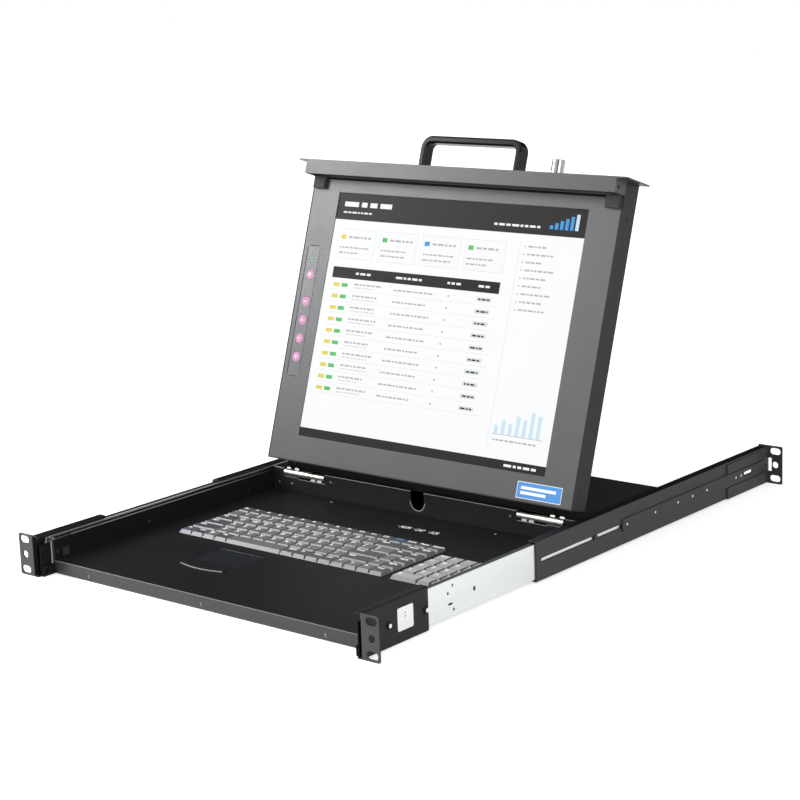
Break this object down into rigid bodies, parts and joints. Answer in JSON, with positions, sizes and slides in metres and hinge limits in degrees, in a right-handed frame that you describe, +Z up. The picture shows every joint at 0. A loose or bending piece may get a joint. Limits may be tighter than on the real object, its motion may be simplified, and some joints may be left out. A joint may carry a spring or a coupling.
{
  "type": "rackmount lcd console drawer",
  "caption": "Rack-mounting console drawer with a fold-up flat display, keyboard, touchpad, ball-bearing slides and depth-adjustable rear brackets.",
  "frame": {"origin": "centre of the four front mounting slots, on the front faces of the front ears", "axes": "+X to the right seen from the front, +Y towards the back of the rack, +Z up"},
  "size_m": [0.4826, 0.71, 0.4094],
  "materials": {
    "black_steel": "fine-textured black powder coat on folded steel",
    "zinc_steel": "bright zinc plated steel",
    "cage_steel": "plated retainer with steel balls",
    "black_screws": "blackened screws",
    "label_white": "blank white label",
    "bezel_paint": "dark grey satin powder coat",
    "nickel": "nickel plated",
    "screen": "lit flat panel, satin front",
    "board_green": "circuit board",
    "chassis_black": "moulded black plastic",
    "keys_grey": "satin moulded key tops",
    "touch_surface": "satin touch surface",
    "touch_button": "satin moulded plastic",
    "lamps": "small clear lamps",
    "lamp_green": "lit green lamp",
    "strip_black": "satin black plastic strip",
    "osd_pink": "lit translucent pink keys",
    "handle_black": "satin black coated aluminium",
    "chrome_knob": "polished chrome",
    "fixings": "blackened steel",
    "rubber_black": "soft black rubber",
    "badge_blue": "blank blue badge",
    "socket_black": "moulded black socket bodies"
  },
  "bodies": {
    "rack_fixed": {"front_bracket_right": "black_steel", "front_bracket_left": "black_steel", "slide_outer_right": "zinc_steel", "slide_outer_left": "zinc_steel", "rail_screws": "black_screws", "data_label": "label_white"},
    "rear_bracket_right": {"rear_sleeve_right": "black_steel", "rear_ear_right": "black_steel", "adjust_strip_right": "black_steel"},
    "rear_bracket_left": {"rear_sleeve_left": "black_steel", "rear_ear_left": "black_steel", "adjust_strip_left": "black_steel"},
    "middle_rail_right": {"slide_middle_right": "zinc_steel"},
    "middle_rail_left": {"slide_middle_left": "zinc_steel"},
    "outer_cage_right": {"ball_cage_outer_right": "cage_steel"},
    "outer_cage_left": {"ball_cage_outer_left": "cage_steel"},
    "inner_cage_right": {"ball_cage_inner_right": "cage_steel"},
    "inner_cage_left": {"ball_cage_inner_left": "cage_steel"},
    "drawer": {"slide_inner_right": "zinc_steel", "slide_inner_left": "zinc_steel", "tray_pan": "black_steel", "deck_plate": "black_steel", "rear_cover": "black_steel", "keyboard_chassis": "chassis_black", "touchpad": "touch_surface", "main_board": "board_green", "indicator_lamps": "lamps", "hinge_base_right": "nickel", "hinge_base_left": "nickel", "rear_sockets": "socket_black", "tray_screws": "black_screws"},
    "lid": {"lcd_housing": "black_steel", "lcd_bezel": "bezel_paint", "lcd_panel": "screen", "lcd_board": "board_green", "osd_strip": "strip_black", "power_led": "lamp_green", "front_panel": "black_steel", "handle": "handle_black", "lid_fixings": "fixings", "bumpers": "rubber_black", "badge": "badge_blue", "hinge_leaf_right": "nickel", "hinge_leaf_left": "nickel"},
    "knob": {"lock_knob": "chrome_knob"},
    "osd_key_1": {"osd_key_1": "osd_pink"},
    "osd_key_2": {"osd_key_2": "osd_pink"},
    "osd_key_3": {"osd_key_3": "osd_pink"},
    "osd_key_4": {"osd_key_4": "osd_pink"},
    "osd_key_5": {"osd_key_5": "osd_pink"},
    "touch_button_left": {"touch_button_left": "touch_button"},
    "touch_button_right": {"touch_button_right": "touch_button"},
    "keys_row_1": {"key_row_1": "keys_grey"},
    "keys_row_2": {"key_row_2": "keys_grey"},
    "keys_row_3": {"key_row_3": "keys_grey"},
    "keys_row_4": {"key_row_4": "keys_grey"},
    "keys_row_5": {"key_row_5": "keys_grey"},
    "keys_row_6": {"key_row_6": "keys_grey"},
    "keys_numpad": {"numpad_keys": "keys_grey"}
  },
  "joints": [
    {"name": "drawer_slide", "type": "slide", "parent": "rack_fixed", "child": "drawer", "axis": [0, -1, 0], "range_m": [0, 0.4]},
    {"name": "middle_slide_right", "type": "slide", "parent": "rack_fixed", "child": "middle_rail_right", "axis": [0, -1, 0], "range_m": [0, 0.2]},
    {"name": "outer_cage_roll_right", "type": "slide", "parent": "rack_fixed", "child": "outer_cage_right", "axis": [0, -1, 0], "range_m": [0, 0.1]},
    {"name": "inner_cage_roll_right", "type": "slide", "parent": "rack_fixed", "child": "inner_cage_right", "axis": [0, -1, 0], "range_m": [0, 0.3]},
    {"name": "rear_adjust_right", "type": "slide", "parent": "rack_fixed", "child": "rear_bracket_right", "axis": [0, 1, 0], "range_m": [-0.04, 0.09]},
    {"name": "middle_slide_left", "type": "slide", "parent": "rack_fixed", "child": "middle_rail_left", "axis": [0, -1, 0], "range_m": [0, 0.2]},
    {"name": "outer_cage_roll_left", "type": "slide", "parent": "rack_fixed", "child": "outer_cage_left", "axis": [0, -1, 0], "range_m": [0, 0.1]},
    {"name": "inner_cage_roll_left", "type": "slide", "parent": "rack_fixed", "child": "inner_cage_left", "axis": [0, -1, 0], "range_m": [0, 0.3]},
    {"name": "rear_adjust_left", "type": "slide", "parent": "rack_fixed", "child": "rear_bracket_left", "axis": [0, 1, 0], "range_m": [-0.04, 0.09]},
    {"name": "lid_hinge", "type": "hinge", "parent": "drawer", "child": "lid", "pos_m": [0, 0.35144, 0.01343], "axis": [1, 0, 0], "range_deg": [-10, 108.41]},
    {"name": "knob_pull", "type": "slide", "parent": "lid", "child": "knob", "axis": [0, 0.3158, 0.9488], "range_m": [0, 0.004], "stiffness_N_per_m": 600, "springref_m": -0.004},
    {"name": "osd_press_1", "type": "slide", "parent": "lid", "child": "osd_key_1", "axis": [0, 0.9488, -0.3158], "range_m": [0, 0.0008], "stiffness_N_per_m": 500, "springref_m": -0.001},
    {"name": "osd_press_2", "type": "slide", "parent": "lid", "child": "osd_key_2", "axis": [0, 0.9488, -0.3158], "range_m": [0, 0.0008], "stiffness_N_per_m": 500, "springref_m": -0.001},
    {"name": "osd_press_3", "type": "slide", "parent": "lid", "child": "osd_key_3", "axis": [0, 0.9488, -0.3158], "range_m": [0, 0.0008], "stiffness_N_per_m": 500, "springref_m": -0.001},
    {"name": "osd_press_4", "type": "slide", "parent": "lid", "child": "osd_key_4", "axis": [0, 0.9488, -0.3158], "range_m": [0, 0.0008], "stiffness_N_per_m": 500, "springref_m": -0.001},
    {"name": "osd_press_5", "type": "slide", "parent": "lid", "child": "osd_key_5", "axis": [0, 0.9488, -0.3158], "range_m": [0, 0.0008], "stiffness_N_per_m": 500, "springref_m": -0.001},
    {"name": "touch_press_left", "type": "slide", "parent": "drawer", "child": "touch_button_left", "axis": [0, 0, -1], "range_m": [0, 0.0005], "stiffness_N_per_m": 500, "springref_m": -0.001},
    {"name": "touch_press_right", "type": "slide", "parent": "drawer", "child": "touch_button_right", "axis": [0, 0, -1], "range_m": [0, 0.0005], "stiffness_N_per_m": 500, "springref_m": -0.001},
    {"name": "keys_press_1", "type": "slide", "parent": "drawer", "child": "keys_row_1", "axis": [0, 0, -1], "range_m": [0, 0.002], "stiffness_N_per_m": 800, "springref_m": -0.002},
    {"name": "keys_press_2", "type": "slide", "parent": "drawer", "child": "keys_row_2", "axis": [0, 0, -1], "range_m": [0, 0.002], "stiffness_N_per_m": 800, "springref_m": -0.002},
    {"name": "keys_press_3", "type": "slide", "parent": "drawer", "child": "keys_row_3", "axis": [0, 0, -1], "range_m": [0, 0.002], "stiffness_N_per_m": 800, "springref_m": -0.002},
    {"name": "keys_press_4", "type": "slide", "parent": "drawer", "child": "keys_row_4", "axis": [0, 0, -1], "range_m": [0, 0.002], "stiffness_N_per_m": 800, "springref_m": -0.002},
    {"name": "keys_press_5", "type": "slide", "parent": "drawer", "child": "keys_row_5", "axis": [0, 0, -1], "range_m": [0, 0.002], "stiffness_N_per_m": 800, "springref_m": -0.002},
    {"name": "keys_press_6", "type": "slide", "parent": "drawer", "child": "keys_row_6", "axis": [0, 0, -1], "range_m": [0, 0.002], "stiffness_N_per_m": 800, "springref_m": -0.002},
    {"name": "keys_press_numpad", "type": "slide", "parent": "drawer", "child": "keys_numpad", "axis": [0, 0, -1], "range_m": [0, 0.002], "stiffness_N_per_m": 800, "springref_m": -0.002}
  ],
  "couplings": [
    {"joint": "middle_slide_right", "follows": "drawer_slide", "ratio": 0.5},
    {"joint": "outer_cage_roll_right", "follows": "drawer_slide", "ratio": 0.25},
    {"joint": "inner_cage_roll_right", "follows": "drawer_slide", "ratio": 0.75},
    {"joint": "middle_slide_left", "follows": "drawer_slide", "ratio": 0.5},
    {"joint": "outer_cage_roll_left", "follows": "drawer_slide", "ratio": 0.25},
    {"joint": "inner_cage_roll_left", "follows": "drawer_slide", "ratio": 0.75}
  ]
}
